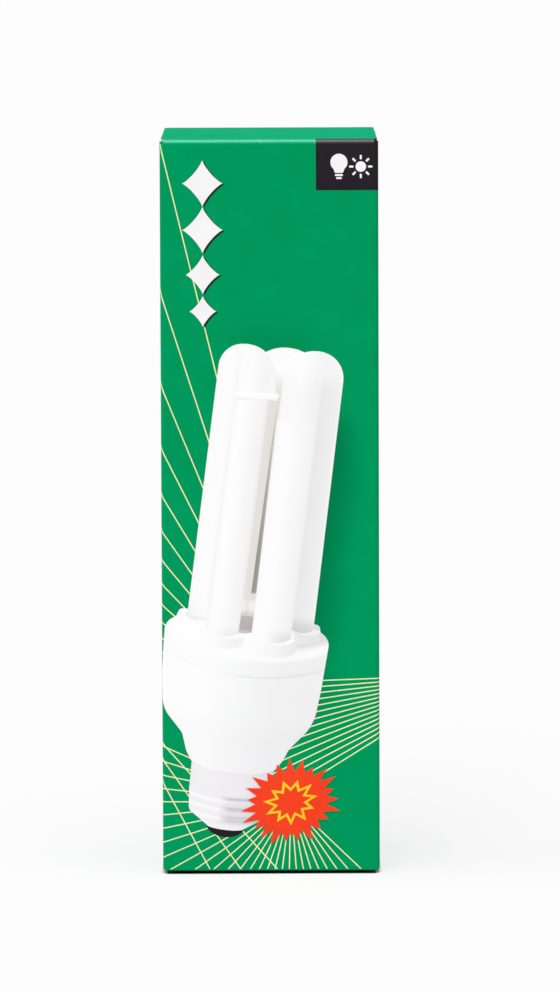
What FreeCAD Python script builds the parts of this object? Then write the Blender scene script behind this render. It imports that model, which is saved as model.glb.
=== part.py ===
import FreeCAD, Part
import math
import os
from FreeCAD import Vector

# A straight-tuck folding carton for a lamp, built as the folded and glued board is:
# a four-panel sleeve with a glue flap and dust flaps, and at each end a lid that is
# creased to the front panel and tucks in behind the back panel.
# Millimetres. X runs across the front, Y from the front to the back, Z up from the base.

# Outside of the closed carton
carton_width = 60.0
carton_depth = 60.0
carton_height = 203.5

# Board and its folds, each fold by its outside radius
board = 0.5
corner_radius = 1.1
lid_fold_radius = 1.3
dust_fold_radius = 1.2
corner_relief = 0.3          # the upright folds stop this far below the flaps' folds

# Lids, each with a tuck flap that is cut free of the lid by a slit at both ends of its fold
lid_side_inset = 0.3         # a lid's cut side edge stands in from the side panel's face
tuck_length = 16.0
tuck_side_inset = 1.8        # the tuck's side edge stands in from the lid's
tuck_corner_radius = 8.0
slit_length = 6.0
slit_width = 0.3
lid_corner_radius = 1.0

# Dust flaps, folded in from the side panels under each lid
dust_length = 24.0           # from the side panel's face to the flap's free end
dust_front_setback = 1.6     # from the front panel's inner face
dust_back_setback = 3.0      # from the back panel's inner face, where the tuck goes down
dust_shoulder = 5.0          # straight stretch of the back edge beside the fold
dust_front_taper = 2.5
dust_back_taper = 7.0
dust_corner_radius = 4.0

# Glued seam at the back left corner: the back panel's flap lies inside the left panel
glue_flap_width = 13.0
glue_flap_setback = 1.5      # the flap's ends stop short of the dust flaps' folds
glue_flap_taper = 4.0
seam_setback = 0.6           # the left panel's cut edge stops short of the back face

# Clearances
lid_gap = 0.1                # between a lid and the dust flaps under it
tuck_gap = 0.3               # between a tuck and the back panel
crease_gap = 0.04            # between the two halves of a lid's crease

# Faces and levels worked out from the sizes above
left = -carton_width / 2
right = carton_width / 2
front = -carton_depth / 2
back = carton_depth / 2
front_top = carton_height - lid_fold_radius
dust_top = carton_height - board - lid_gap
side_top = dust_top - dust_fold_radius
corner_top = min(front_top, side_top) - corner_relief
glue_top = side_top - glue_flap_setback
crease_half = carton_width / 2 - corner_radius
lid_half = carton_width / 2 - lid_side_inset
tuck_half = lid_half - tuck_side_inset
tuck_fold_half = lid_half - slit_length
tuck_fold_y = back - board - tuck_gap - lid_fold_radius

# A lid turns about the middle of its crease's outer face, halfway round the fold
fold_middle = lid_fold_radius * (1 - math.cos(math.radians(45)))
hinge_y = front + fold_middle
hinge_z = carton_height - fold_middle

# The tuck is folded past square, so that its end swings no wider than its own fold
tuck_reach = tuck_fold_y + lid_fold_radius - hinge_y
tuck_drop = lid_fold_radius - fold_middle
tuck_lean = math.degrees(math.asin((tuck_length + tuck_drop) ** 2 / (2 * tuck_reach * tuck_length)))

along_x = Vector(1, 0, 0)
along_y = Vector(0, 1, 0)
along_z = Vector(0, 0, 1)


def rounded_outline(corners, place):
    """A closed wire through (u, v, radius) corners rounded by arcs, set in space by place(u, v)."""
    stretches = []
    for i, (u, v, radius) in enumerate(corners):
        corner = Vector(u, v, 0)
        before = Vector(*corners[i - 1][:2], 0) - corner
        after = Vector(*corners[(i + 1) % len(corners)][:2], 0) - corner
        before.normalize()
        after.normalize()
        half_angle = before.getAngle(after) / 2
        reach = radius / math.tan(half_angle)
        middle = before + after
        if radius:
            middle.normalize()
            middle = corner + middle * (radius / math.sin(half_angle) - radius)
        stretches.append((corner + before * reach, middle, corner + after * reach, radius))
    edges = []
    for i, (arc_start, arc_middle, arc_end, radius) in enumerate(stretches):
        if radius:
            points = [place(p.x, p.y) for p in (arc_start, arc_middle, arc_end)]
            edges.append(Part.Arc(*points).toShape())
        next_start = stretches[(i + 1) % len(stretches)][0]
        points = [place(p.x, p.y) for p in (arc_end, next_start)]
        edges.append(Part.LineSegment(*points).toShape())
    return Part.Wire(edges)


def plate(corners, place, thickness):
    """A flat piece of board: the outline's face, extruded by the thickness vector."""
    return Part.Face(rounded_outline(corners, place)).extrude(thickness)


def block(low, high):
    """An upright panel between two opposite corners."""
    return Part.makeBox(*(Vector(*high) - Vector(*low)), Vector(*low))


def fold(end_low, end_high, centre, axis, angle):
    """The board bent from a panel's end: that end's flat face, turned about the fold's axis."""
    low, high = Vector(*end_low), Vector(*end_high)
    span = high - low
    if span.x == 0:
        sides = (Vector(0, span.y, 0), Vector(0, 0, span.z))
    elif span.y == 0:
        sides = (Vector(span.x, 0, 0), Vector(0, 0, span.z))
    else:
        sides = (Vector(span.x, 0, 0), Vector(0, span.y, 0))
    end = Part.Face(Part.makePolygon([low, low + sides[0], high, low + sides[1], low]))
    return end.revolve(Vector(*centre), axis, angle)


def at_other_end(shape):
    """The same board at the carton's other end."""
    return shape.mirror(Vector(0, 0, carton_height / 2), along_z)


def joined(pieces):
    """One solid from pieces of board that meet face to face."""
    return pieces[0].multiFuse(pieces[1:]).removeSplitter()


def panels():
    """The sleeve's four upright panels."""
    return [
        block((left + corner_radius, front, carton_height - front_top),
              (right - corner_radius, front + board, front_top)),
        block((right - board, front + corner_radius, carton_height - side_top),
              (right, back - corner_radius, side_top)),
        block((left + board + corner_radius, back - board, 0),
              (right - corner_radius, back, carton_height)),
        block((left, front + corner_radius, carton_height - side_top),
              (left + board, back - seam_setback, side_top)),
    ]


def upright_folds():
    """The three upright folds between neighbouring panels."""
    low, high = carton_height - corner_top, corner_top
    near, far = front + corner_radius, back - corner_radius
    return [
        fold((left + corner_radius, front, low), (left + corner_radius, front + board, high),
             (left + corner_radius, near, 0), along_z, -90),
        fold((right - corner_radius, front, low), (right - corner_radius, front + board, high),
             (right - corner_radius, near, 0), along_z, 90),
        fold((right - corner_radius, back - board, low), (right - corner_radius, back, high),
             (right - corner_radius, far, 0), along_z, -90),
    ]


def glue_flap():
    """The back panel's glue flap, folded forward and stuck to the left panel's inner face."""
    root_x = left + board + corner_radius
    root_y = back - corner_radius
    free_y = root_y - glue_flap_width
    bottom = carton_height - glue_top
    corners = [
        (root_y, bottom, 0),
        (root_y, glue_top, 0),
        (free_y, glue_top - glue_flap_taper, 0),
        (free_y, bottom + glue_flap_taper, 0),
    ]
    return [
        fold((root_x, back - board, bottom), (root_x, back, glue_top), (root_x, root_y, 0), along_z, 90),
        plate(corners, lambda y, z: Vector(left + board, y, z), along_x * board),
    ]


def dust_flaps():
    """The two dust flaps under the top lid, folded in from the side panels."""
    near = front + board + dust_front_setback
    far = back - board - dust_back_setback
    root_x = right - dust_fold_radius
    free_x = right - dust_length
    corners = [
        (root_x, near, 0),
        (root_x, far, 0),
        (root_x - dust_shoulder, far, 0),
        (free_x, far - dust_back_taper, dust_corner_radius),
        (free_x, near + dust_front_taper, dust_corner_radius),
    ]
    right_flap = [
        fold((right - board, near, side_top), (right, far, side_top),
             (root_x, 0, side_top), along_y, -90),
        plate(corners, lambda x, y: Vector(x, y, dust_top), along_z * -board),
    ]
    return right_flap + [piece.mirror(Vector(0, 0, 0), along_x) for piece in right_flap]


def crease_angle():
    """How far each half of a lid's crease turns, short of the middle by half the crease's gap."""
    return 45 - math.degrees(crease_gap / 2 / lid_fold_radius)


def front_crease():
    """The front panel's half of the top lid's crease."""
    return fold((-crease_half, front, front_top), (crease_half, front + board, front_top),
                (0, front + lid_fold_radius, front_top), along_x, -crease_angle())


def carton_body():
    """The glued sleeve with its seam, its dust flaps and its halves of both lids' creases."""
    top_end = dust_flaps() + [front_crease()]
    bottom_end = [at_other_end(piece) for piece in top_end]
    return joined(panels() + upright_folds() + glue_flap() + top_end + bottom_end)


def lid_panel():
    """The flat of the lid, with an ear at each back corner beyond the slit."""
    near = front + lid_fold_radius
    ear = tuck_fold_y + lid_fold_radius / 2
    side_start = near + lid_half - crease_half
    corners = [
        (-crease_half, near, 0),
        (crease_half, near, 0),
        (lid_half, side_start, 0),
        (lid_half, ear, lid_corner_radius),
        (tuck_fold_half, ear, 0),
        (tuck_fold_half, tuck_fold_y, 0),
        (-tuck_fold_half, tuck_fold_y, 0),
        (-tuck_fold_half, ear, 0),
        (-lid_half, ear, lid_corner_radius),
        (-lid_half, side_start, 0),
    ]
    return plate(corners, lambda x, y: Vector(x, y, carton_height), along_z * -board)


def lid_crease():
    """The lid's half of its crease."""
    near = front + lid_fold_radius
    return fold((-crease_half, near, carton_height - board), (crease_half, near, carton_height),
                (0, near, front_top), along_x, crease_angle())


def tuck():
    """The tuck flap and the fold that joins it to the lid."""
    lean = math.radians(tuck_lean)
    outward = Vector(0, math.cos(lean), -math.sin(lean))
    downward = Vector(0, -math.sin(lean), -math.cos(lean))
    root = Vector(0, tuck_fold_y, front_top) + outward * lid_fold_radius
    corners = [
        (-tuck_fold_half, 0, 0),
        (tuck_fold_half, 0, 0),
        (tuck_fold_half, slit_width, 0),
        (tuck_half, slit_width, 0),
        (tuck_half, tuck_length, tuck_corner_radius),
        (-tuck_half, tuck_length, tuck_corner_radius),
        (-tuck_half, slit_width, 0),
        (-tuck_fold_half, slit_width, 0),
    ]
    return [
        fold((-tuck_fold_half, tuck_fold_y, carton_height - board),
             (tuck_fold_half, tuck_fold_y, carton_height),
             (0, tuck_fold_y, front_top), along_x, -90 - tuck_lean),
        plate(corners, lambda x, s: root + along_x * x + downward * s, outward * -board),
    ]


def top_lid():
    """The lid at the top: half its crease, its flat and its tuck."""
    return joined([lid_panel(), lid_crease()] + tuck())


def main():
    os.makedirs("parts", exist_ok=True)
    lid = top_lid()
    nodes = {
        "carton_body": carton_body(),
        "top_lid": lid,
        "bottom_lid": at_other_end(lid),
    }
    for name, shape in nodes.items():
        shape.exportStep(f"parts/{name}.step")
        print(name, shape.isValid(), len(shape.Solids), round(shape.Volume, 1), shape.BoundBox)
    print("hinge line", round(hinge_y, 4), round(hinge_z, 4), "tuck lean", round(tuck_lean, 2))


main()
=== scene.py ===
import bmesh
import bpy
import math
from mathutils import Euler, Matrix, Vector


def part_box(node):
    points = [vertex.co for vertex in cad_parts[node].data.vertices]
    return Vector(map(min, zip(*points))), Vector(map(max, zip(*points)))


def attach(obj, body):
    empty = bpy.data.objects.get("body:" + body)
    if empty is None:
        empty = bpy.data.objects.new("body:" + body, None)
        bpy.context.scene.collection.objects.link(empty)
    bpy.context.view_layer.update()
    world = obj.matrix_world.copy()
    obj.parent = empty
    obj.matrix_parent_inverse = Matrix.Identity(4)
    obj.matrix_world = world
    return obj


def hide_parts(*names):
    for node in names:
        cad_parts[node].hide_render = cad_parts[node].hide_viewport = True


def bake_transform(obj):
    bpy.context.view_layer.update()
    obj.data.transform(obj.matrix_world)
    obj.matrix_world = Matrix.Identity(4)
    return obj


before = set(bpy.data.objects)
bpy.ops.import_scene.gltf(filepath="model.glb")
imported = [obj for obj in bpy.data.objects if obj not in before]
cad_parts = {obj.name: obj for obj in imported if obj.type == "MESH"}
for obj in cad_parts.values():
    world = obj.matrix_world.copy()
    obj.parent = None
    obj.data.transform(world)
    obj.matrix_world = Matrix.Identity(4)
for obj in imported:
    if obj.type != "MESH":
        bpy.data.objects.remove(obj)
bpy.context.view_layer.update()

mm = 0.001
tiny = 0.01 * mm                          # two places nearer than this are the same

# The closed carton, from the frame: front is the printed panel, both ends are alike
left, front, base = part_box("carton_body")[0]
right, back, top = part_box("carton_body")[1]
middle = (base + top) / 2
half = (top - base) / 2

board = {
    "thickness": 0.5 * mm,
    "cornerFold": 1.1 * mm,       # outside radius of the upright folds
    "lidFold": 1.3 * mm,
    "dustFold": 1.2 * mm,
    "foldSteps": 10,
    "foldFace": 40 * mm * mm,     # a face on a fold is smaller than this, a flat panel larger
    "flatNormal": 0.9999,         # and its normal lies less than this along any axis
    "smoothAngle": math.radians(35),
}


# Small tools for working by hand in edit mode

def same(a, b):
    return abs(a - b) < tiny


def pick(kind, rule):                     # selects corners, edges or faces that lie where the rule says
    bpy.ops.mesh.select_mode(type=kind)
    bpy.ops.mesh.select_all(action="DESELECT")
    mesh = bmesh.from_edit_mesh(bpy.context.object.data)
    for part in {"VERT": mesh.verts, "EDGE": mesh.edges, "FACE": mesh.faces}[kind]:
        corners = [part] if kind == "VERT" else part.verts
        if all(rule(*corner.co) for corner in corners):
            part.select_set(True)
    bmesh.update_edit_mesh(bpy.context.object.data)


def startSheet(name, width, height, place, turn=(0, 0, 0)):
    bpy.ops.object.select_all(action="DESELECT")
    bpy.ops.mesh.primitive_plane_add(size=1, location=place, rotation=turn)
    sheet = bpy.context.object
    sheet.name = sheet.data.name = name
    sheet.scale = (width, height, 1)
    bpy.ops.object.transform_apply(location=True, rotation=True, scale=True)
    bpy.ops.object.mode_set(mode="EDIT")
    return sheet


def runOn(x=0, y=0, z=0):                 # carries the picked edge straight on
    bpy.ops.mesh.extrude_region_move(TRANSFORM_OT_translate={"value": (x, y, z)})


def foldOver(centre, axis, degrees):      # carries the picked edge round a fold; spin counts clockwise
    bpy.ops.mesh.spin(steps=board["foldSteps"], angle=math.radians(-degrees), center=centre, axis=axis)


def spanTo(axis, low, high):              # makes what is picked reach from low to high along one axis
    mesh = bmesh.from_edit_mesh(bpy.context.object.data)
    picked = [corner.co.copy() for corner in mesh.verts if corner.select]
    nearEnd = min(co[axis] for co in picked)
    farEnd = max(co[axis] for co in picked)
    centre = Vector(picked[0])
    centre[axis] = (nearEnd + farEnd) / 2
    size = Vector((1, 1, 1))
    size[axis] = (high - low) / (farEnd - nearEnd)
    bpy.ops.transform.resize(value=size, center_override=centre)
    move = Vector((0, 0, 0))
    move[axis] = (low + high) / 2 - centre[axis]
    bpy.ops.transform.translate(value=move)


def roundCorner(spot, radius, steps=8):   # rounds one corner of a flat sheet
    pick("VERT", lambda x, y, z: (Vector((x, y, z)) - spot).length < tiny)
    mesh = bmesh.from_edit_mesh(bpy.context.object.data)
    corner = next(vert for vert in mesh.verts if vert.select)
    arms = [line.other_vert(corner).co - corner.co for line in corner.link_edges]
    reach = radius / math.tan(arms[0].angle(arms[1]) / 2)
    bpy.ops.mesh.bevel(offset=reach, offset_type="ABSOLUTE", segments=steps, affect="VERTICES")


def finishWith(kind, **settings):         # adds one modifier and applies it
    piece = bpy.context.object
    step = piece.modifiers.new(kind.lower(), kind)
    for name, value in settings.items():
        setattr(step, name, value)
    bpy.ops.object.modifier_apply(modifier=step.name)


def objectMode():
    bpy.ops.mesh.select_all(action="SELECT")
    bpy.ops.object.mode_set(mode="OBJECT")


# Materials

def linear(code):                         # sRGB hex to a linear colour
    parts = [int(code[i:i + 2], 16) / 255 for i in (1, 3, 5)]
    return [p / 12.92 if p <= 0.04045 else ((p + 0.055) / 1.055) ** 2.4 for p in parts] + [1]


def addNode(tree, kind, inputs={}, stops=(), **settings):
    made = tree.nodes.new("ShaderNode" + kind)
    for name, value in settings.items():
        setattr(made, name, value)
    for name, value in inputs.items():
        if isinstance(value, bpy.types.NodeSocket):
            tree.links.new(value, made.inputs[name])
        else:
            made.inputs[name].default_value = value
    for i, (place, colour) in enumerate(stops):
        stop = made.color_ramp.elements[i] if i < 2 else made.color_ramp.elements.new(place)
        stop.position = place
        stop.color = linear(colour)
    return made


def newMaterial(name, roughness, specular, finish={}):
    material = bpy.data.materials.new(name)
    material.use_nodes = True
    shader = material.node_tree.nodes["Principled BSDF"]
    sockets = {"Roughness": roughness, "Specular IOR Level": specular, "IOR": 1.5}
    for socket, value in {**sockets, **finish}.items():
        shader.inputs[socket].default_value = value
    return material, material.node_tree, shader


# Where the lamp is pictured on the front: its cap's tip, and how far it leans to the right
lampPicture = {
    "tipX": -13.1 * mm,
    "tipZ": 10.575 * mm,
    "lean": math.radians(7.29),
    "unit": 1.0015 * mm,          # one step of its drawing
}

paper = {
    "tooth": 0.45 * mm,           # finer in life, drawn this coarse so that it shows
    "toothHeight": 0.012 * mm,
    "wave": 26 * mm,              # slow unevenness of a standing panel
    "waveHeight": 0.10 * mm,
    "mottle": 9 * mm,             # uneven ink
    "uncoated": 1.6,              # how much rougher the back and the raw edges are
}


def lampAxes(tree):                       # millimetres across and up the pictured lamp
    coords = addNode(tree, "TexCoord").outputs["Object"]
    turned = addNode(tree, "Mapping", {
        "Vector": coords,
        "Location": (lampPicture["tipX"], front, lampPicture["tipZ"]),
        "Rotation": (0, lampPicture["lean"], 0),
        "Scale": [lampPicture["unit"]] * 3,
    }, vector_type="TEXTURE")
    axes = addNode(tree, "SeparateXYZ", {"Vector": turned.outputs["Vector"]})
    return axes.outputs["X"], axes.outputs["Z"]


def paperBump(tree, shader, toothShare=1.0):
    coords = addNode(tree, "TexCoord").outputs["Object"]
    wave = addNode(tree, "TexNoise", {"Vector": coords, "Scale": 1 / paper["wave"], "Detail": 1.0})
    slow = addNode(tree, "Bump", {
        "Height": wave.outputs["Fac"], "Strength": 1.0, "Distance": paper["waveHeight"],
    })
    tooth = addNode(tree, "TexNoise", {"Vector": coords, "Scale": 1 / paper["tooth"], "Detail": 2.0})
    fine = addNode(tree, "Bump", {
        "Height": tooth.outputs["Fac"], "Normal": slow.outputs["Normal"],
        "Strength": toothShare, "Distance": paper["toothHeight"],
    })
    tree.links.new(fine.outputs["Normal"], shader.inputs["Normal"])


def paintShadeWhereHidden(tree, colour, look, least=0.0):   # paints shade into the colour where ambient occlusion finds it hidden from the light
    bare = addNode(tree, "AmbientOcclusion", {"Distance": look["reach"]}, samples=16).outputs["AO"]
    share = addNode(tree, "MapRange", {
        "Value": bare, "From Min": look["dark"], "From Max": look["clear"], "To Min": least,
    }).outputs[0]
    return addNode(tree, "Mix", {0: share, 6: (0, 0, 0, 1), 7: colour}, data_type="RGBA").outputs[2]


# Offset-printed green on coated folding board: flat, saturated, nearly matt on the panels.
# The picture's soft shadow is part of the print, so it darkens the ink round the lamp.
green = {
    "light": "#009b5f",
    "deep": "#00965a",
    "worn": "#d9ded2",
    "crack": 2.2 * mm,            # size of the worn spots along a fold
    "crackRange": (0.58, 0.72),   # they show where the pattern rises through this range
    "frontDepth": 0.2 * mm,       # ink no deeper than this is on the front panel
    "panelSheen": {"Sheen Weight": 0.2, "Sheen Roughness": 0.35, "Sheen Tint": linear("#30d0ff")},
    "foldSheen": {"Specular Tint": linear("#98f4ff")},
    "shadows": [
        # beside the lamp's axis, along it from and to, then full within and none beyond, in mm
        {"side": 8.0, "low": 46, "high": 108, "near": 8.0, "far": 20.5, "depth": 0.36},
        {"side": -3.0, "low": 128, "high": 130, "near": 5.0, "far": 21.0, "depth": 0.13},
    ],
}

# The crease that the carton stands on gets painted shade: dark close to the floor, a little less so at its
# ends
foot = {
    "reach": 1.7 * mm,
    "dark": 0.63,                 # black where this share of its surroundings is open, plain green at clear
    "clear": 0.83,
    "endStart": 26.5 * mm,
    "endStop": 29.0 * mm,
    "endPaintedLight": 0.2,
}


def mottledInk(tree, pale, deep):         # ink lies a little unevenly
    coords = addNode(tree, "TexCoord").outputs["Object"]
    mottle = addNode(tree, "TexNoise", {"Vector": coords, "Scale": 1 / paper["mottle"], "Detail": 3.0})
    ink = addNode(tree, "ValToRGB", {"Fac": mottle.outputs["Fac"]}, stops=[(0.3, deep), (0.7, pale)])
    return ink.outputs["Color"]


def makeGreen(name, roughness, specular, finish, wear=0, paintedFootShade=None):
    material, tree, shader = newMaterial(name, roughness, specular, finish)
    colour = mottledInk(tree, green["light"], green["deep"])

    # distance from a line beside the lamp's axis, on the front panel only
    coords = addNode(tree, "TexCoord").outputs["Object"]
    across, along = lampAxes(tree)
    depth = addNode(tree, "SeparateXYZ", {"Vector": coords}).outputs["Y"]
    onFront = addNode(tree, "Math", {0: depth, 1: front + green["frontDepth"]},
                      operation="LESS_THAN").outputs[0]
    for shadow in green["shadows"]:
        aside = addNode(tree, "Math", {0: across, 1: shadow["side"]}, operation="SUBTRACT").outputs[0]
        nearest = addNode(tree, "Clamp", {"Value": along, "Min": shadow["low"], "Max": shadow["high"]})
        beyond = addNode(tree, "Math", {0: along, 1: nearest.outputs[0]}, operation="SUBTRACT").outputs[0]
        offset = addNode(tree, "CombineXYZ", {"X": aside, "Z": beyond})
        away = addNode(tree, "VectorMath", {0: offset.outputs[0]}, operation="LENGTH").outputs["Value"]
        shade = addNode(tree, "MapRange", {
            "Value": away, "From Min": shadow["near"], "From Max": shadow["far"],
            "To Min": shadow["depth"], "To Max": 0.0,
        }, interpolation_type="SMOOTHSTEP")
        share = addNode(tree, "Math", {0: shade.outputs[0], 1: onFront}, operation="MULTIPLY").outputs[0]
        colour = addNode(tree, "Mix", {0: share, 6: colour, 7: (0, 0, 0, 1)}, data_type="RGBA").outputs[2]

    # ink rubbed thin here and there along a fold
    if wear:
        low, high = green["crackRange"]
        crack = addNode(tree, "TexNoise", {"Vector": coords, "Scale": 1 / green["crack"], "Detail": 4.0})
        spots = addNode(tree, "MapRange", {
            "Value": crack.outputs["Fac"], "From Min": low, "From Max": high, "To Max": wear,
        })
        colour = addNode(tree, "Mix", {0: spots.outputs[0], 6: colour, 7: linear(green["worn"])},
                         data_type="RGBA").outputs[2]

    # painted shade: dark close to the floor where ambient occlusion finds it hidden, a little lighter at
    # its ends
    if paintedFootShade:
        aside = addNode(tree, "SeparateXYZ", {"Vector": coords}).outputs["X"]
        away = addNode(tree, "Math", {0: aside}, operation="ABSOLUTE").outputs[0]
        ends = addNode(tree, "MapRange", {
            "Value": away, "From Min": paintedFootShade["endStart"], "From Max": paintedFootShade["endStop"],
            "To Max": paintedFootShade["endPaintedLight"],
        }).outputs[0]
        colour = paintShadeWhereHidden(tree, colour, paintedFootShade, ends)
    tree.links.new(colour, shader.inputs["Base Color"])
    paperBump(tree, shader)
    return material


# The board's back: unprinted, warm grey-white, with short darker fibres
inside = {"pale": "#e4e2da", "dark": "#d3d0c6", "fibre": 1.4 * mm, "stretch": 0.25}


def makeInside():
    material, tree, shader = newMaterial("boardBackUncoated", roughness=0.9, specular=0.2)
    coords = addNode(tree, "TexCoord").outputs["Object"]
    stretched = addNode(tree, "Mapping", {"Vector": coords, "Scale": (1, 1, inside["stretch"])})
    fibre = addNode(tree, "TexNoise", {
        "Vector": stretched.outputs[0], "Scale": 1 / inside["fibre"], "Detail": 6.0, "Roughness": 0.7,
    })
    colour = addNode(tree, "ValToRGB", {"Fac": fibre.outputs["Fac"]},
                     stops=[(0.35, inside["dark"]), (0.55, inside["pale"])])
    tree.links.new(colour.outputs["Color"], shader.inputs["Base Color"])
    paperBump(tree, shader, paper["uncoated"])
    return material


# A cut edge of the board: pale matt pulp with greyer specks, and painted shade where it lies hidden in a
# crevice
edge = {
    "pale": "#ece9e0",
    "dark": "#c9c5b8",
    "pulp": 0.5 * mm,
    "paintedCreviceShade": {"reach": 1.5 * mm, "dark": 0.0, "clear": 1.0},
    "leastLight": 1 / 3,          # what is left of its colour under the painted shade
}


def makeEdge():
    material, tree, shader = newMaterial("boardCutEdge", roughness=0.95, specular=0.2)
    coords = addNode(tree, "TexCoord").outputs["Object"]
    pulp = addNode(tree, "TexNoise", {"Vector": coords, "Scale": 1 / edge["pulp"], "Detail": 4.0})
    colour = addNode(tree, "ValToRGB", {"Fac": pulp.outputs["Fac"]},
                     stops=[(0.35, edge["dark"]), (0.6, edge["pale"])])
    paintedShade = paintShadeWhereHidden(tree, colour.outputs["Color"], edge["paintedCreviceShade"], edge["leastLight"])
    tree.links.new(paintedShade, shader.inputs["Base Color"])
    paperBump(tree, shader, paper["uncoated"])
    return material


# A second ink printed over the board, as flat and matt as the green
def makeInk(name, pale, deep, roughness=0.6, specular=0.12):
    material, tree, shader = newMaterial(name, roughness, specular)
    tree.links.new(mottledInk(tree, pale, deep), shader.inputs["Base Color"])
    paperBump(tree, shader)
    return material


# Ink of the pictured lamp: greys that run across it, along it, and soft shades laid over both
def makeLampInk(name, acrossStops, alongStops=(), bow=0.0, shades=()):
    material, tree, shader = newMaterial(name, roughness=0.6, specular=0.08)
    across, along = lampAxes(tree)
    squared = addNode(tree, "Math", {0: across, 1: across}, operation="MULTIPLY").outputs[0]
    lift = addNode(tree, "Math", {0: squared, 1: bow}, operation="MULTIPLY").outputs[0]
    level = addNode(tree, "Math", {0: along, 1: lift}, operation="SUBTRACT").outputs[0]
    colour = None
    for reading, stops in ((across, acrossStops), (level, alongStops)):
        if stops:
            low, high = stops[0][0], stops[-1][0]
            share = addNode(tree, "MapRange", {"Value": reading, "From Min": low, "From Max": high})
            ramp = addNode(tree, "ValToRGB", {"Fac": share.outputs[0]}, stops=[
                ((place - low) / (high - low), code) for place, code in stops
            ]).outputs["Color"]
            if colour is not None:
                ramp = addNode(tree, "Mix", {0: 1.0, 6: colour, 7: ramp},
                               data_type="RGBA", blend_type="MULTIPLY").outputs[2]
            colour = ramp

    # a shade starts at near and is full at far, in a band that ends softly below and above
    for (near, far), (low, high, soft), code in shades:
        sideways = addNode(tree, "MapRange", {"Value": across, "From Min": near, "From Max": far},
                           interpolation_type="SMOOTHSTEP").outputs[0]
        offset = addNode(tree, "Math", {0: level, 1: (low + high) / 2}, operation="SUBTRACT").outputs[0]
        away = addNode(tree, "Math", {0: offset}, operation="ABSOLUTE").outputs[0]
        reach = (high - low) / 2
        upward = addNode(tree, "MapRange", {"Value": away, "From Min": reach, "From Max": reach - soft},
                         interpolation_type="SMOOTHSTEP").outputs[0]
        share = addNode(tree, "Math", {0: sideways, 1: upward}, operation="MULTIPLY").outputs[0]
        colour = addNode(tree, "Mix", {0: share, 6: colour, 7: linear(code)},
                         data_type="RGBA", blend_type="MULTIPLY").outputs[2]
    tree.links.new(colour, shader.inputs["Base Color"])
    paperBump(tree, shader)
    return material


# A fold is pressed smooth, so its ink shines where a panel's is matt
panelGreen = makeGreen("printedGreenPanel", roughness=0.6, specular=0.01, finish=green["panelSheen"])
foldGreen = makeGreen("printedGreenFold", roughness=0.3, specular=0.8, finish=green["foldSheen"], wear=0.1)
# the crease it stands on, with painted shade close to the floor
footGreenPaintedShade = makeGreen("printedGreenFootPaintedShade", roughness=0.6, specular=0.02, finish={}, paintedFootShade=foot)
boardBack = makeInside()
cutEdge = makeEdge()
tagBlack = makeInk("printedBlack", "#272228", "#231e24", roughness=0.6, specular=0.06)
foldBlack = makeInk("printedBlackFold", "#272228", "#231e24", roughness=0.34, specular=0.45)
printWhite = makeInk("printedWhite", "#fbf8fa", "#f5f2f4")
printShade = makeInk("printedDarkEdge", "#16301f", "#10281a")
rayYellow = makeInk("printedPaleYellow", "#f8f7be", "#f2f0b4")
burstRed = makeInk("printedRedOrange", "#f9441f", "#f43d1c")
burstYellow = makeInk("printedYellow", "#fbd22a", "#f6c41f")

# Inks of a folded sheet, in the order of their slots
inkSlot = {"print": 0, "back": 1, "cut": 2, "crease": 3, "black": 4, "blackCrease": 5}
boardInks = [panelGreen, boardBack, cutEdge, foldGreen, tagBlack, foldBlack]
footInks = [panelGreen, boardBack, cutEdge, footGreenPaintedShade]
print("materials made")


# The board: a folded sheet gets its thickness and its inks

def dress(piece, inks, creased):          # thickness inward, raw edges, and a crease's own finish
    for material in inks:
        piece.data.materials.append(material)
    finishWith("SOLIDIFY", thickness=board["thickness"], offset=-1, use_even_offset=True,
               use_rim=True, material_offset=inkSlot["back"], material_offset_rim=inkSlot["cut"])
    for face in piece.data.polygons:
        turned = max(abs(n) for n in face.normal) < board["flatNormal"]
        if creased and turned and face.area < board["foldFace"] and face.material_index == inkSlot["print"]:
            face.material_index = inkSlot["crease"]
    bpy.ops.object.shade_smooth_by_angle(angle=board["smoothAngle"])


def blacken(face):                        # the black field covers print, raw edges and creases
    black = {"print": "black", "cut": "black", "crease": "blackCrease"}
    for plain, covered in black.items():
        if face.material_index == inkSlot[plain]:
            face.material_index = inkSlot[covered]
            break


sleeve = {
    "notch": 0.55 * mm,           # the upright folds stop this far below the lid's face
    "footLift": 0.7 * mm,         # and this much shorter again at the foot
    "relief": 0.3 * mm,           # the strip below a dust flap's fold
    "backNotch": 1.5 * mm,        # the sides behind the dust flaps stop this far below it
    "lidGap": 0.1 * mm,
    "dustLength": 24.0 * mm,
    "dustNear": front + 2.1 * mm,
    "dustFar": back - 3.5 * mm,
    "dustShoulder": 5.0 * mm,
    "dustFrontTaper": 2.5 * mm,
    "dustBackTaper": 7.0 * mm,
    "dustCorner": 4.0 * mm,
    "glueWidth": 13.0 * mm,
    "glueSetback": 1.5 * mm,
    "glueTaper": 4.0 * mm,
    "seamSetback": 0.6 * mm,
}
frontEnd = half - board["lidFold"]
sideEnd = half - board["thickness"] - sleeve["lidGap"] - board["dustFold"]
foldEnd = sideEnd - sleeve["relief"]
cornerEnd = half - sleeve["notch"]

# The black field at the front's upper right corner, over the fold and the lid's crease
tag = {"left": 12.85 * mm, "bottom": 189.4 * mm}


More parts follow.
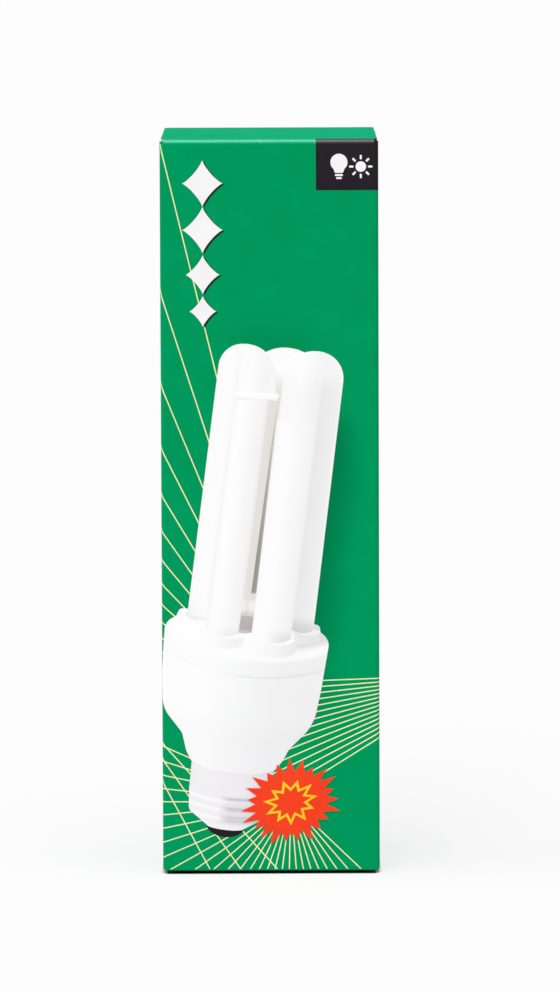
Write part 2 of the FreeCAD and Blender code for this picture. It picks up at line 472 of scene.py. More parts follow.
def makeSleeve():
    corner = board["cornerFold"]
    glueEnd = sideEnd - sleeve["glueSetback"]
    near, far = sleeve["dustNear"], sleeve["dustFar"]
    seamX = left + board["thickness"]
    upright = (0, 0, 1)

    # the upper half of the front panel, then on round the right side to the glue flap
    piece = startSheet("cartonSleeve", right - left - 2 * corner, glueEnd,
                       (0, front, glueEnd / 2), (math.radians(90), 0, 0))
    pick("EDGE", lambda x, y, z: same(z, glueEnd))
    runOn(z=foldEnd - glueEnd)
    pick("EDGE", lambda x, y, z: same(x, right - corner))
    foldOver((right - corner, front + corner, 0), upright, 90)
    runOn(y=near - front - corner)
    runOn(y=far - near)
    runOn(y=back - corner - far)
    foldOver((right - corner, back - corner, 0), upright, 90)
    runOn(x=seamX + corner - right + corner)
    pick("EDGE", lambda x, y, z: same(x, seamX + corner) and same(y, back) and z < glueEnd + tiny)
    foldOver((seamX + corner, back - corner, 0), upright, 90)
    runOn(y=-sleeve["glueWidth"])
    spanTo(2, 0, glueEnd - sleeve["glueTaper"])
    glueRoot = seamX + corner + tiny
    pick("EDGE", lambda x, y, z: same(z, glueEnd) and y > back - corner - tiny and x < glueRoot)
    runOn(z=foldEnd - glueEnd)
    bpy.ops.mesh.select_all(action="SELECT")
    bpy.ops.mesh.remove_doubles(threshold=tiny)

    # the left side, whose cut edge covers the glue flap
    pick("EDGE", lambda x, y, z: same(x, left + corner) and same(y, front))
    foldOver((left + corner, front + corner, 0), upright, -90)
    runOn(y=near - front - corner)
    runOn(y=far - near)
    runOn(y=back - sleeve["seamSetback"] - far)

    # the front folds and the strips beside them rise to the lid's crease
    for side in (right, left):
        pick("EDGE", lambda x, y, z: same(z, foldEnd) and y < near + tiny and abs(x - side) < corner + tiny)
        runOn(z=cornerEnd - foldEnd)

    # the back panel stands up to the carton's full height, its folds slope down to the sides
    pick("EDGE", lambda x, y, z: same(z, foldEnd) and y > back - corner - tiny and x > left + tiny)
    runOn(z=half - foldEnd)
    for i in range(1, board["foldSteps"] + 1):
        share = i / board["foldSteps"]
        depth = corner * (1 - math.cos(math.radians(90) * share))
        pick("VERT", lambda x, y, z: same(z, half) and same(y, back - depth))
        bpy.ops.transform.translate(value=(0, 0, -sleeve["backNotch"] * share))
    for side in (right, left):
        pick("EDGE", lambda x, y, z: same(z, foldEnd) and same(x, side) and y > far - tiny)
        runOn(z=half - sleeve["backNotch"] - foldEnd)

    # a dust flap on each side
    for side, inward in ((right, -1), (left, 1)):
        pick("EDGE", lambda x, y, z: same(z, foldEnd) and same(x, side) and near - tiny < y < far + tiny)
        runOn(z=sideEnd - foldEnd)
        pick("EDGE", lambda x, y, z: same(z, sideEnd) and same(x, side) and near - tiny < y < far + tiny)
        root = side + inward * board["dustFold"]
        foldOver((root, 0, sideEnd), (0, 1, 0), 90 * inward)
        run = sleeve["dustLength"] - board["dustFold"]
        runOn(x=inward * sleeve["dustShoulder"])
        spanTo(1, near + sleeve["dustFrontTaper"] * sleeve["dustShoulder"] / run, far)
        runOn(x=inward * (run - sleeve["dustShoulder"]))
        nearTip, farTip = near + sleeve["dustFrontTaper"], far - sleeve["dustBackTaper"]
        spanTo(1, nearTip, farTip)
        free = Vector((side + inward * sleeve["dustLength"], 0, sideEnd + board["dustFold"]))
        for y in (nearTip, farTip):
            roundCorner(free + Vector((0, y, 0)), sleeve["dustCorner"])

    # the other end is the same, and the whole stands on the floor
    objectMode()
    finishWith("MIRROR", use_axis=(False, False, True), merge_threshold=tiny)
    bpy.ops.object.mode_set(mode="EDIT")
    bpy.ops.mesh.select_all(action="SELECT")
    bpy.ops.transform.translate(value=(0, 0, middle))

    # the front folds end higher at the foot, clear of the floor
    nearFront = front + corner + tiny
    foldFoot = base + sleeve["notch"]
    pick("VERT", lambda x, y, z: same(z, foldFoot) and y < near + tiny and abs(x) > right - corner - tiny)
    bpy.ops.transform.translate(value=(0, 0, sleeve["footLift"]))

    # edges for the black field
    pick("FACE", lambda x, y, z: y < nearFront and z > middle - tiny and x > left + corner - tiny)
    bpy.ops.mesh.bisect(plane_co=(0, 0, tag["bottom"]), plane_no=(0, 0, 1))
    pick("FACE", lambda x, y, z: same(y, front) and z > tag["bottom"] - tiny)
    bpy.ops.mesh.bisect(plane_co=(tag["left"], 0, 0), plane_no=(1, 0, 0))
    objectMode()

    dress(piece, boardInks, False)
    for face in piece.data.polygons:
        spot = face.center
        if spot.x > tag["left"] and spot.z > tag["bottom"] and spot.y < nearFront:
            blacken(face)
    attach(piece, "carton")
    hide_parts("carton_body")
    print("sleeve folded:", len(piece.data.polygons), "faces")


lid = {
    "half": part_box("top_lid")[1].x,
    "backInset": 0.3 * mm,        # it narrows towards the tuck
    "tuckGap": 0.3 * mm,          # between the tuck and the back panel
    "tuckLength": 16.0 * mm,
    "tuckSideInset": 1.8 * mm,
    "tuckCorner": 8.0 * mm,
    "slitLength": 6.0 * mm,
    "slitWidth": 0.3 * mm,
    "earCorner": 1.0 * mm,
    "lean": math.radians(8.75),   # the tuck folds past square, to clear the back panel as it swings
}


def makeLid(name, node, upward):
    fold = board["lidFold"]
    crease = right - board["cornerFold"]
    tuckHalf = lid["half"] - lid["tuckSideInset"]
    backHalf = lid["half"] - lid["backInset"]
    slit = lid["half"] - lid["slitLength"]
    foldY = back - board["thickness"] - lid["tuckGap"] - fold
    ear = foldY + fold / 2
    wideY = front + fold + lid["half"] - crease     # where the flat has its full width
    acrossFront = (1, 0, 0)

    # a strip of the front panel, the crease, then the lid's flat, widening past the crease
    piece = startSheet(name, 2 * crease, frontEnd - foldEnd,
                       (0, front, (frontEnd + foldEnd) / 2), (math.radians(90), 0, 0))
    pick("EDGE", lambda x, y, z: same(z, frontEnd))
    foldOver((0, front + fold, frontEnd), acrossFront, -90)
    runOn(y=lid["half"] - crease)
    spanTo(0, -lid["half"], lid["half"])
    runOn(y=foldY - wideY)
    spanTo(0, -backHalf, backHalf)
    for x in (-slit, slit):
        pick("FACE", lambda cx, cy, cz: same(cz, half) and cy > wideY - tiny)
        bpy.ops.mesh.bisect(plane_co=(x, 0, 0), plane_no=(1, 0, 0))

    # an ear beyond each slit
    for side in (-1, 1):
        pick("EDGE", lambda x, y, z: same(y, foldY) and x * side > slit - tiny)
        runOn(y=ear - foldY)
        roundCorner(Vector((side * backHalf, ear, half)), lid["earCorner"], steps=5)

    # the tuck: over its fold, past the slits, then out to its full width
    pick("EDGE", lambda x, y, z: same(y, foldY) and abs(x) < slit + tiny)
    foldOver((0, foldY, frontEnd), acrossFront, -90 - math.degrees(lid["lean"]))
    down = Vector((0, -math.sin(lid["lean"]), -math.cos(lid["lean"])))
    runOn(*(down * lid["slitWidth"]))
    runOn(*(down * (lid["tuckLength"] - lid["slitWidth"])))
    root = Vector((0, foldY, frontEnd)) + fold * Vector((0, math.cos(lid["lean"]), -math.sin(lid["lean"])))
    tip = root + down * lid["tuckLength"]
    shoulder = root + down * lid["slitWidth"]
    for side in (-1, 1):
        pick("EDGE", lambda x, y, z: same(x, side * slit) and z < shoulder.z + tiny)
        runOn(x=side * (tuckHalf - slit))
    for side in (-1, 1):
        pick("EDGE", lambda x, y, z: same(x, side * slit) and z < shoulder.z + tiny)
        bpy.ops.mesh.dissolve_edges(use_verts=True)
    for side in (-1, 1):
        roundCorner(Vector((side * tuckHalf, tip.y, tip.z)), lid["tuckCorner"], steps=12)

    # an edge for the black field on the crease
    if upward:
        pick("FACE", lambda x, y, z: y < front + fold + tiny)
        bpy.ops.mesh.bisect(plane_co=(tag["left"], 0, 0), plane_no=(1, 0, 0))
    else:
        bpy.ops.mesh.select_all(action="SELECT")
        bpy.ops.transform.resize(value=(1, 1, -1), center_override=(0, 0, 0))
        bpy.ops.mesh.flip_normals()
    bpy.ops.mesh.select_all(action="SELECT")
    bpy.ops.transform.translate(value=(0, 0, middle))
    objectMode()

    dress(piece, boardInks if upward else footInks, True)
    for face in piece.data.polygons:
        spot = face.center
        blackEnd = wideY if face.material_index == inkSlot["cut"] else front + fold
        if upward and spot.x > tag["left"] and spot.y < blackEnd:
            blacken(face)
    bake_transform(piece)
    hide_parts(node)
    print(name, "folded:", len(piece.data.polygons), "faces")


makeSleeve()
makeLid("topLid", "top_lid", True)
makeLid("bottomLid", "bottom_lid", False)


# Print on the front panel: each ink is a closed film that stands on the board, later ones thicker

film = 0.012 * mm


def panelPoint(x, z):                     # millimetres from the panel's middle and from the floor
    return Vector((x * mm, front, z * mm))


def lampPoint(across, along):             # millimetres across and up the pictured lamp
    lean, unit = lampPicture["lean"], lampPicture["unit"]
    return Vector((
        lampPicture["tipX"] + (across * math.cos(lean) + along * math.sin(lean)) * unit,
        front,
        lampPicture["tipZ"] + (along * math.cos(lean) - across * math.sin(lean)) * unit,
    ))


def startDisc(corners):
    bpy.ops.object.select_all(action="DESELECT")
    bpy.ops.mesh.primitive_circle_add(vertices=corners, radius=1, fill_type="NGON")
    return bpy.context.object


def standUp(field, centre, turn=0.0):     # from lying flat to its place on the front
    field.rotation_euler = (math.radians(90), -turn, 0)
    field.location = panelPoint(*centre)
    bpy.ops.object.transform_apply(location=True, rotation=True)


def thicken(field, layer, ink):
    field.data.materials.append(ink)
    finishWith("SOLIDIFY", thickness=layer * film, offset=1, use_rim=True)
    return field


def faceForward(field):                   # a flat field looks out of the front panel
    bpy.ops.mesh.select_all(action="SELECT")
    if next(iter(bmesh.from_edit_mesh(field.data).faces)).normal.y > 0:
        bpy.ops.mesh.flip_normals()
    bpy.ops.object.mode_set(mode="OBJECT")


def inkField(corners, layer, ink, place=panelPoint):   # corners are (across, up, rounding) in mm
    field = startDisc(len(corners))
    bpy.ops.object.mode_set(mode="EDIT")
    spots = [place(corner[0], corner[1]) for corner in corners]
    mesh = bmesh.from_edit_mesh(field.data)
    for vert, spot in zip(mesh.verts, spots):
        vert.co = spot
    mesh.normal_update()
    bmesh.update_edit_mesh(field.data)
    for corner, spot in zip(corners, spots):
        if corner[2]:
            roundCorner(spot, corner[2] * mm)
    bmesh.from_edit_mesh(field.data).normal_update()
    faceForward(field)
    return thicken(field, layer, ink)


def starField(points, centre, sizes, turn, inner, layer, ink, uneven=0.0, beat=5.3):
    # a disc whose every second corner is drawn in, the others longer and shorter by turns
    field = startDisc(2 * points)
    for i, vert in enumerate(field.data.vertices):
        reach = inner if i % 2 else 1 + uneven * math.sin(beat * i)
        vert.co *= reach
    field.scale = (sizes[0] * mm, sizes[1] * mm, 1)
    bpy.ops.object.transform_apply(scale=True)
    standUp(field, centre, turn)
    bpy.ops.object.mode_set(mode="EDIT")
    faceForward(field)
    return thicken(field, layer, ink)


def wrapPrint(piece):                     # print that runs past the flat goes on round the upright fold
    corner = board["cornerFold"]
    flatHalf = right - corner
    bpy.ops.object.mode_set(mode="EDIT")
    for side in (-1, 1):
        for i in range(board["foldSteps"]):
            arc = math.radians(90) * corner * i / board["foldSteps"]
            bpy.ops.mesh.select_all(action="SELECT")
            bpy.ops.mesh.bisect(plane_co=(side * (flatHalf + arc), 0, 0), plane_no=(1, 0, 0))
    bpy.ops.object.mode_set(mode="OBJECT")
    for vert in piece.data.vertices:
        past = (abs(vert.co.x) - flatHalf) / corner
        if past > 0:
            reach = corner + front - vert.co.y
            vert.co.x = math.copysign(flatHalf + reach * math.sin(past), vert.co.x)
            vert.co.y = front + corner - reach * math.cos(past)


def joinPrint(name, fields):
    bpy.ops.object.select_all(action="DESELECT")
    for field in fields:
        field.select_set(True)
    bpy.context.view_layer.objects.active = fields[0]
    bpy.ops.object.join()
    piece = bpy.context.object
    piece.name = piece.data.name = name
    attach(piece, "carton")
    print(name, "printed:", len(piece.data.polygons), "faces")
    return piece


# Straight rays in fans, each from a point that is covered or off the panel, trimmed to the panel
rays = {
    "width": 0.3,
    "wrap": 1.5,                  # onto the upright folds, beyond the flat
    "fans": [
        # start and reach in mm, directions in degrees from straight up, leftward
        {"start": (9.0, 40.0), "first": 13.5, "last": 61.0, "count": 12, "reach": 200, "layer": 1.0},
        {"start": (5.4, 20.0), "first": 66.0, "last": 226.0, "count": 28, "reach": 90, "layer": 1.3},
        {"start": (58.0, 55.4), "first": 92.0, "last": 122.0, "count": 15, "reach": 66, "layer": 1.6},
        {"start": (-44.0, 52.0), "first": 208.0, "last": 222.0, "count": 3, "reach": 90, "layer": 1.6},
    ],
}


def makeRays():
    fans = []
    for look in rays["fans"]:
        strips = []
        for i in range(look["count"]):
            turn = math.radians(look["first"] + (look["last"] - look["first"]) * i / (look["count"] - 1))
            bpy.ops.mesh.primitive_plane_add(size=1)
            strip = bpy.context.object
            strip.scale = (rays["width"] * mm, look["reach"] * mm, 1)
            strip.location = (0, look["reach"] / 2 * mm, 0)
            bpy.ops.object.transform_apply(location=True, scale=True)
            standUp(strip, look["start"], turn)
            strips.append(strip)
        bpy.ops.object.select_all(action="DESELECT")
        for strip in strips:
            strip.select_set(True)
        bpy.ops.object.join()
        fan = bpy.context.object
        bpy.ops.object.mode_set(mode="EDIT")
        crease = board["lidFold"]
        sideways = right - board["cornerFold"] + rays["wrap"] * mm
        for place, direction in (((sideways, 0, 0), (1, 0, 0)), ((-sideways, 0, 0), (-1, 0, 0)),
                                 ((0, 0, base + crease), (0, 0, -1)), ((0, 0, top - crease), (0, 0, 1))):
            bpy.ops.mesh.select_all(action="SELECT")
            bpy.ops.mesh.bisect(plane_co=place, plane_no=direction, clear_outer=True)
        faceForward(fan)
        fans.append(thicken(fan, look["layer"], rayYellow))
    wrapPrint(joinPrint("printedRays", fans))


makeRays()


# The pictured lamp: three bent tubes in a flared housing over a screw cap, in flat fields of grey.
# Stops are millimetres across the lamp from its axis, or up from its tip.
def makeLampPicture():
    tubeLeft = makeLampInk("printedTubeLeft", [
        (-17.6, "#f8f8f8"), (-16.6, "#fdfdfd"), (-14.0, "#fefefe"), (-12.0, "#fbfbfb"), (-10.5, "#fefefe"),
        (-8.0, "#fdfdfd"), (-6.0, "#f9f9f9"), (-4.0, "#f7f7f7"), (-2.0, "#f8f8f8"), (-0.3, "#f3f2f1"),
    ], shades=[((-11.0, -17.0), (20, 66, 5), "#f9f9f9"), ((-30, -29), (20, 60.4, 1.2), "#f9f9f9")])
    tubeLine = makeLampInk("printedTubeLine", [(-12.6, "#fdfdfd"), (-12.2, "#f6f6f6"), (-11.8, "#fafafa")],
                           [(60, "#ffffff"), (128, "#ffffff")])
    tubeRight = makeLampInk("printedTubeRight", [
        (0.5, "#fafafa"), (1.5, "#fefefe"), (5.5, "#ffffff"), (7.5, "#fcfcfc"), (9.5, "#f8f8f8"),
        (11.5, "#f6f6f6"), (15.5, "#f8f8f8"), (16.6, "#fbfbfb"), (17.1, "#fefefe"), (17.4, "#f5f5f5"),
    ], shades=[((10.9, 11.7), (-20, 132, 7), "#f7f7f7"), ((17.0, 11.7), (-20, 132, 7), "#fbfbfb"),
               ((9.0, 12.0), (20, 63.8, 4.6), "#e5e5e6")])
    tubeBack = makeLampInk("printedTubeBack", [(-8, "#ffffff"), (8, "#ffffff")], [
        (118, "#dedad6"), (124, "#e6e3e1"), (127, "#f2f0ef"), (129, "#fbfafa"), (130.5, "#ffffff"),
        (133, "#fefefe"), (136.5, "#fcfcfc"),
    ])
    legLeft = makeLampInk("printedLegLeft", [
        (-12.0, "#f7f7f7"), (-11.2, "#fdfdfd"), (-10.0, "#ffffff"), (-8.5, "#fdfdfd"), (-7.0, "#fbfbfb"),
        (-5.5, "#f7f7f7"), (-3.8, "#f5f5f5"), (-2.7, "#efeeed"),
    ], shades=[((-11.0, -5.0), (20, 58.6, 2.6), "#f9f9f9")])
    legBehind = makeLampInk("printedLegBehind", [
        (-3.0, "#ebe9e7"), (-2.5, "#e6e3e0"), (-1.0, "#e5e2de"), (-0.3, "#e3e0db"), (0.4, "#e3e0db"),
        (0.9, "#f0eeec"),
    ])
    legRight = makeLampInk("printedLegRight", [
        (0.1, "#eeedec"), (0.9, "#fcfcfc"), (2.5, "#fefefe"), (4.5, "#fefefe"), (6.5, "#fbfbfb"),
        (8.5, "#f8f8f8"), (10.3, "#f5f5f5"), (11.5, "#f1f1f2"),
    ], shades=[((3.0, 11.0), (20, 59.6, 3.6), "#ececed")])
    slotDark = makeLampInk("printedSlot", [
        (-0.9, "#e4e0d6"), (-0.5, "#d6cfc1"), (-0.1, "#dcd5c7"), (0.2, "#e6e0d5"), (0.7, "#efebe3"),
    ], [
        (67.8, "#dcdcdc"), (68.6, "#b8b8b8"), (76, "#b6b6b6"), (85, "#bebebe"), (100, "#d0d0d0"),
        (112, "#ebebeb"), (118, "#ffffff"),
    ])
    gapGrey = makeLampInk("printedGap", [(-3, "#fdfcfc"), (0.6, "#f9f7f7")], [
        (56.3, "#ebe8e7"), (56.9, "#d4cecd"), (58.0, "#bcb5b4"), (59.5, "#bcb5b4"), (62.0, "#c8c3c2"),
    ])
    postGrey = makeLampInk("printedPost", [
        (-2.9, "#f6f5f4"), (-2.2, "#f2f1ef"), (-1.5, "#ebe9e6"), (-0.6, "#f5f4f3"), (0.1, "#f2f0ee"),
        (0.6, "#f6f5f4"),
    ], [
        (61.2, "#d8d5d3"), (62.3, "#e9e7e6"), (63.4, "#fcfcfc"), (65.2, "#ffffff"), (67.2, "#eceae7"),
    ])
    housing = makeLampInk("printedHousing", [
        (-23.2, "#fafafa"), (-21.8, "#ffffff"), (-10.0, "#ffffff"), (8.0, "#fefefe"), (18.0, "#fdfdfd"),
        (22.0, "#fefefe"),
    ], [
        (15.2, "#f6f5f6"), (17.6, "#fbfbfb"), (21.0, "#fcfcfd"), (27.0, "#fbfbfb"), (33.0, "#fefefe"),
        (44.4, "#fefefe"), (44.7, "#f8f8f8"), (45.0, "#fdfdfd"), (49.0, "#fefefe"), (50.2, "#ffffff"),
        (62.0, "#ffffff"),
    ], 0.0095, [
        # the seam, the body turning from the light below the ledge, and shade between the cups on the right
        ((-6.0, 2.0), (44.3, 45.1, 0.3), "#f8f8f8"),
        ((-13.0, 13.0), (0, 49.7, 1.2), "#f4f4f5"),
        ((11.0, 14.5), (50.6, 75, 3.0), "#e2e2e3"),
    ])
    rim = makeLampInk("printedRim", [
        (-13.2, "#ffffff"), (0.0, "#fefefe"), (12.4, "#fefefe"), (13.6, "#f5f5f6"), (19.6, "#f2f2f3"),
    ])
    cup = makeLampInk("printedCup", [
        (-13.5, "#fefefe"), (-11.0, "#fefefe"), (-8.0, "#fbfbfb"), (-5.0, "#f6f6f6"), (-2.0, "#f3f3f4"),
        (0.0, "#fbfbfb"), (1.5, "#fefefe"), (4.0, "#fbfbfb"), (7.0, "#f7f7f8"), (10.0, "#f2f2f3"),
        (13.0, "#ebebec"), (15.0, "#e9e9ea"), (20.0, "#e6e6e7"),
    ])
    cap = makeLampInk("printedScrewCap", [
        (-11.8, "#f8f8f9"), (-10.0, "#fdfdfe"), (-6.0, "#fdfcfd"), (0.0, "#fbfafc"), (3.0, "#f9f8fa"),
        (8.0, "#f1f0f3"), (11.8, "#e8e7eb"),
    ], [
        (2.0, "#f8f7f9"), (3.6, "#f5f4f6"), (4.75, "#ffffff"), (5.5, "#f4f3f5"), (6.5, "#f8f7f9"),
        (7.2, "#ffffff"), (8.0, "#f3f2f4"), (8.9, "#f8f7f9"), (9.5, "#ffffff"), (10.4, "#f4f3f5"),
        (17.2, "#f5f4f6"), (17.9, "#ecebee"),
    ], 0.012, [
        # the threads' dark sides, on the right half only
        ((-3.0, 1.0), (2.8, 11.4, 0.8), "#f3f2f5"),
        ((-3.0, 1.0), (3.6, 5.8, 0.5), "#e8e7ea"),
        ((-3.0, 1.0), (6.7, 8.2, 0.4), "#e3e2e6"),
        ((-3.0, 1.0), (9.8, 10.9, 0.4), "#e4e3e7"),
    ])
    joint = makeLampInk("printedTubeJoint", [(-12, "#ffffff"), (0.2, "#fefefe")])
    jointShade = makeLampInk("printedTubeJointShade", [(-12, "#f8f8f8"), (12, "#f3f3f4")])

    def lampField(corners, layer, ink):
        return inkField(corners, layer, ink, lampPoint)

    def bowl(start, end, level, depth, steps=16):   # the lower half of an ellipse, from left to right
        middleLine, reach = (start + end) / 2, (end - start) / 2
        turns = [math.pi * i / steps for i in range(steps + 1)]
        return [(middleLine - reach * math.cos(a), level - depth * math.sin(a), 0) for a in turns]

    # corners are (across, up, rounding), and layers rise towards the eye
    fields = [
        # the tip's contact, the tube at the back, the screw cap
        lampField(bowl(-5.4, 5.4, 3.2, 3.5), 2, tagBlack),
        lampField([(-9.3, 118, 0), (-9.3, 136.55, 10.2), (11.9, 136.55, 10.2), (11.9, 118, 0)], 3,
                  tubeBack),
        lampField([(-11.5, 22, 0), (-11.2, 12, 0), (-10.6, 6.2, 2.0)] + bowl(-5.2, 5.2, 2.6, 0.9)
                  + [(10.6, 6.2, 2.0), (11.2, 12, 0), (11.5, 22, 0)], 3, cap),
        # the housing, up its right side from the collar and down its left
        lampField([
            (6.1, 17.7, 12.0), (11.6, 19.9, 0.8), (13.4, 22.6, 3.0), (14.9, 26.3, 6.0),
            (20.65, 33.5, 12.0), (21.55, 43, 50.0), (22.2, 57.6, 3.4), (19.4, 59.6, 0.3),
            (18.9, 61.4, 1.0), (16.8, 61.6, 0), (-17.6, 61.6, 0), (-19.9, 61.4, 1.2),
            (-20.6, 59.2, 0.3), (-23.4, 57.2, 3.4), (-22.75, 43, 50.0), (-21.3, 33.6, 9.0),
            (-15.0, 27.2, 3.0), (-13.3, 22.4, 3.0), (-11.6, 19.8, 0.8), (-6.9, 17.7, 12.0),
        ], 4, housing),
        # the gap between the tubes, then the cups and their rims
        lampField([(-3.3, 61.8, 0), (-3.3, 56.1, 0.4), (1.2, 57.3, 0.4), (1.4, 61.8, 0)], 5, gapGrey),
        lampField([(-12.6, 56.6, 0)] + bowl(-12.7, -1.25, 54.3, 2.5) + [(-1.35, 56.6, 0)], 6, cup),
        lampField([(12.4, 59.6, 0), (12.6, 55.3, 0.8), (19.5, 56.1, 0.9), (19.35, 59.9, 0)], 6, cup),
        lampField(bowl(-13.2, -1.0, 56.6, 2.2), 7, rim),
        lampField(bowl(11.6, 19.35, 60.0, 1.8), 7, rim),
        lampField([(0.1, 56.8, 0)] + bowl(0.3, 13.35, 53.8, 2.7) + [(12.75, 57.0, 0)], 8, cup),
        lampField(bowl(0.1, 12.75, 56.75, 2.4), 9, rim),
        # the leg behind, the post at its foot, the dark slot beside it
        lampField([(-3.2, 61.6, 0), (-2.9, 124, 0), (1.2, 124, 0), (1.6, 61.6, 0)], 8, legBehind),
        lampField([(-3.3, 66.4, 0), (-3.3, 61.6, 0.5), (0.0, 62.0, 0.6), (0.7, 61.0, 0.4), (1.8, 61.2, 0),
                   (1.8, 67.4, 0), (-0.6, 66.2, 0.6)], 8.5, postGrey),
        lampField([(-0.9, 67.9, 0), (0.9, 68.1, 0), (0.5, 119, 0), (-0.3, 119, 0), (-0.5, 100, 0),
                   (-0.8, 76, 0)], 9, slotDark),
        # the two front tubes, the line of the left one's bend, their near legs
        lampField([(-17.5, 136.1, 6.7), (-17.6, 61.4, 0)] + bowl(-18.2, -11.0, 60.4, 1.6)
                  + [(-3.4, 59.9, 0), (-2.8, 121.5, 0), (-0.6, 122, 0), (-2.7, 136.3, 8.3)], 9, tubeLeft),
        lampField([(0.5, 136.6, 8.6), (1.06, 59.8, 0)] + bowl(10.6, 17.4, 60.6, 1.85)
                  + [(17.0, 136.6, 7.4)], 10, tubeRight),
        lampField([(-12.5, 60.2, 0), (-11.8, 60.2, 0), (-11.5, 126, 4.0), (-12.4, 130.4, 3.0),
                   (-14.8, 132.6, 0), (-13.0, 130.0, 2.0), (-12.1, 126, 4.0)], 10, tubeLine),
        lampField([(-11.9, 122, 0)] + bowl(-12.2, -2.95, 56.9, 1.45) + [(-2.6, 122, 0)], 11, legLeft),
        lampField([(0.15, 116.7, 0)] + bowl(0.6, 11.45, 57.3, 2.3) + [(11.3, 117.2, 0)], 11, legRight),
        # where the legs join the bends
        lampField([(-11.9, 120.6, 0), (-0.2, 121.7, 0), (-0.2, 122.4, 0), (-11.9, 121.4, 0)], 12,
                  jointShade),
        lampField([(0.7, 116.4, 0), (5.5, 116.3, 0), (11.3, 117.0, 0), (11.3, 117.2, 0), (5.5, 116.55, 0),
                   (0.7, 116.65, 0)], 12, jointShade),
        lampField([(-11.9, 121.2, 0.3), (-6.0, 121.4, 0), (0.1, 122.4, 0.5), (0.1, 123.6, 0.4),
                   (-11.9, 122.6, 0.4)], 13, joint),
    ]
    wrapPrint(joinPrint("printedLamp", fields))


makeLampPicture()


# A plain starburst over the cap
burst = {
    "centre": (5.4, 20.0),
    "sizes": (13.6, 11.2),
    "turn": math.radians(20),
    "stars": [
        {"share": 1.0, "points": 23, "inner": 0.74, "uneven": 0.09, "layer": 14, "ink": burstRed},
        {"share": 0.56, "points": 11, "inner": 0.62, "uneven": 0.05, "layer": 15, "ink": burstYellow},
        {"share": 0.43, "points": 11, "inner": 0.62, "uneven": 0.05, "layer": 16, "ink": burstRed},
    ],
}


def makeBurst():
    fields = []
    for look in burst["stars"]:
        sizes = [size * look["share"] for size in burst["sizes"]]
        fields.append(starField(look["points"], burst["centre"], sizes, burst["turn"], look["inner"],
                                look["layer"], look["ink"], look["uneven"]))
    joinPrint("printedBurst", fields)


makeBurst()


# Sparkles with a dark edge, down the left of the front
sparkles = {
    "spots": [((-18.3, 191.4), (5.6, 6.4)), ((-18.3, 178.6), (5.6, 6.4)), ((-18.3, 166.3), (4.7, 5.4)),
              ((-18.3, 156.2), (3.7, 4.3))],
    "corners": 64,
    "hollow": 2.5,                # the higher, the thinner the points
    "shadow": (0.55, -0.35),
}


def sparkleField(centre, sizes, layer, ink):   # a disc drawn out to four points with hollow sides
    field = startDisc(sparkles["corners"])
    for vert in field.data.vertices:
        for axis in (0, 1):
            reach = abs(vert.co[axis]) ** sparkles["hollow"] * sizes[axis] * mm
            vert.co[axis] = math.copysign(reach, vert.co[axis])
    standUp(field, centre)
    bpy.ops.object.mode_set(mode="EDIT")
    faceForward(field)
    return thicken(field, layer, ink)


def makeSparkles():
    fields = []
    for (x, z), sizes in sparkles["spots"]:
        aside, below = sparkles["shadow"]
        fields.append(sparkleField((x + aside, z + below), sizes, 2, printShade))
        fields.append(sparkleField((x, z), sizes, 3, printWhite))
    joinPrint("printedSparkles", fields)


makeSparkles()


# A bulb and a sun, white on the black field
signs = {
    "bulb": (19.2, 196.2),
    "glass": (19.2, 197.1),
    "glassSize": 2.35,
    "neck": [(-1.7, -0.4, 0), (1.7, -0.4, 0), (1.1, -2.0, 0.2), (-1.1, -2.0, 0.2)],
    "bands": [(1.1, -2.9, -2.35), (0.8, -3.7, -3.2)],     # half width, bottom and top, from the bulb
    "sun": (25.2, 195.9),
    "sunSize": 1.45,
    "beams": 8,
    "beam": (0.28, 2.0, 3.2),                             # half width, start and end, from the sun
    "rounding": 0.2,
    "discPoints": 16,
}


def makeSigns():
    def disc(centre, size):
        return starField(signs["discPoints"], centre, (size, size), 0, 1.0, 2, printWhite)

    def bar(halfWidth, low, high, place):
        corners = ((-halfWidth, low), (halfWidth, low), (halfWidth, high), (-halfWidth, high))
        return inkField([(x, z, signs["rounding"]) for x, z in corners], 2, printWhite, place)

    def bulbPoint(across, up):
        return panelPoint(signs["bulb"][0] + across, signs["bulb"][1] + up)

    def beamPoint(across, along):
        return panelPoint(signs["sun"][0] + across * math.cos(turn) + along * math.sin(turn),
                          signs["sun"][1] - across * math.sin(turn) + along * math.cos(turn))

    fields = [disc(signs["glass"], signs["glassSize"]), inkField(signs["neck"], 3, printWhite, bulbPoint)]
    fields += [bar(*band, bulbPoint) for band in signs["bands"]]
    fields.append(disc(signs["sun"], signs["sunSize"]))
    for i in range(signs["beams"]):
        turn = 2 * math.pi * i / signs["beams"]
        fields.append(bar(*signs["beam"], beamPoint))
    joinPrint("printedSigns", fields)


makeSigns()


# Stage: a wide light table, with soft light from above, from the front and from the left
stage = {
    "floorSize": 40.0,
    "floorDrop": 0.03 * mm,       # so that no face of the carton lies in the floor
    "floorColour": "#6a6a6a",
    "floorGlow": 0.55,            # light from the table, and what the eye sees of it
    "floorSeen": 0.76,
    "contact": 1.1 * mm,          # the glow dies away this near the carton, a painted contact shadow
    "contactShadowDepth": 2.0,
    "sky": 0.30,
    "skySeen": 0.97,
    "overhead": {"strength": 0.91, "angle": 50, "height": 78, "side": -15},
    "key": {"strength": 0.315, "angle": 24, "height": 46, "side": -15},
    "fill": {"strength": 0.22, "angle": 70, "height": 25, "side": -82},
}


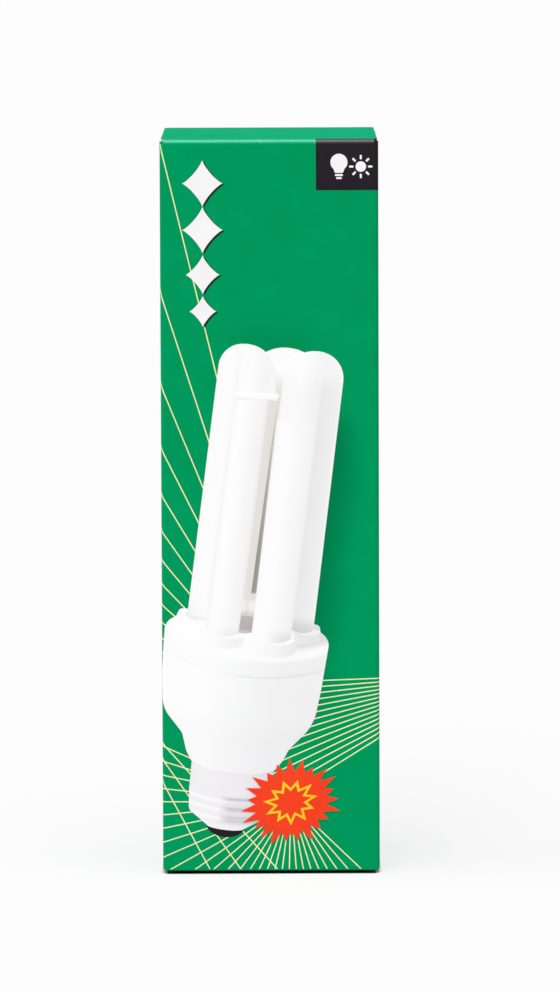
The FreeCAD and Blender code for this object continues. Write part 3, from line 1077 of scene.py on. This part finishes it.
def makeStage():
    bpy.ops.object.select_all(action="DESELECT")
    bpy.ops.mesh.primitive_plane_add(size=stage["floorSize"], location=(0, 0, base - stage["floorDrop"]))
    floor = bpy.context.object
    floor.name = "floor"
    bpy.ops.object.transform_apply(location=True)
    material, tree, shader = newMaterial("whiteLightTable", roughness=1.0, specular=0.0)
    shader.inputs["Base Color"].default_value = linear(stage["floorColour"])
    shader.inputs["Emission Color"].default_value = (1, 1, 1, 1)
    seen = addNode(tree, "LightPath")
    glow = addNode(tree, "MapRange", {
        "Value": seen.outputs["Is Camera Ray"], "To Min": stage["floorGlow"], "To Max": stage["floorSeen"],
    })
    # painted contact shadow: ambient occlusion dims the table's glow next to the carton
    hidden = addNode(tree, "AmbientOcclusion", {"Distance": stage["contact"]}, samples=8)
    paintedShade = addNode(tree, "Math", {0: hidden.outputs["AO"], 1: stage["contactShadowDepth"]}, operation="POWER")
    lit = addNode(tree, "Math", {0: glow.outputs[0], 1: paintedShade.outputs[0]}, operation="MULTIPLY")
    tree.links.new(lit.outputs[0], shader.inputs["Emission Strength"])
    floor.data.materials.append(material)

    # a white surround for the eye, a plainer light for the object
    world = bpy.data.worlds.new("studio")
    bpy.context.scene.world = world
    world.use_nodes = True
    tree = world.node_tree
    background = tree.nodes["Background"]
    seen = addNode(tree, "LightPath")
    strength = addNode(tree, "MapRange", {
        "Value": seen.outputs["Is Camera Ray"], "To Min": stage["sky"], "To Max": stage["skySeen"],
    })
    tree.links.new(strength.outputs[0], background.inputs["Strength"])
    background.inputs["Color"].default_value = (1, 1, 1, 1)

    for name in ("overhead", "key", "fill"):
        look = stage[name]
        bpy.ops.object.light_add(type="SUN")
        light = bpy.context.object
        light.name = name
        light.data.energy = look["strength"] * math.pi
        light.data.angle = math.radians(look["angle"])
        light.rotation_euler = (math.radians(90 - look["height"]), 0, math.radians(look["side"]))
    print("stage set")


makeStage()


# The photograph's view: a long lens a little above the carton, a touch off level
view = {
    "eye": (0.00272, -2.0511, 0.3174),
    "pitch": 5.9953,
    "roll": 0.208,
    "lens": 267.7,
    "sensor": 36,
    "farthest": 100,
}


def makeCamera():
    bpy.ops.object.camera_add(location=view["eye"])
    camera = bpy.context.object
    down = Euler((math.radians(90 - view["pitch"]), 0, 0)).to_matrix()
    camera.rotation_euler = (down @ Matrix.Rotation(math.radians(-view["roll"]), 3, "Z")).to_euler()
    camera.data.lens = view["lens"]
    camera.data.sensor_width = view["sensor"]
    camera.data.clip_end = view["farthest"]
    bpy.context.scene.camera = camera
    bpy.context.scene.view_settings.view_transform = "Standard"
    print("camera set")


makeCamera()
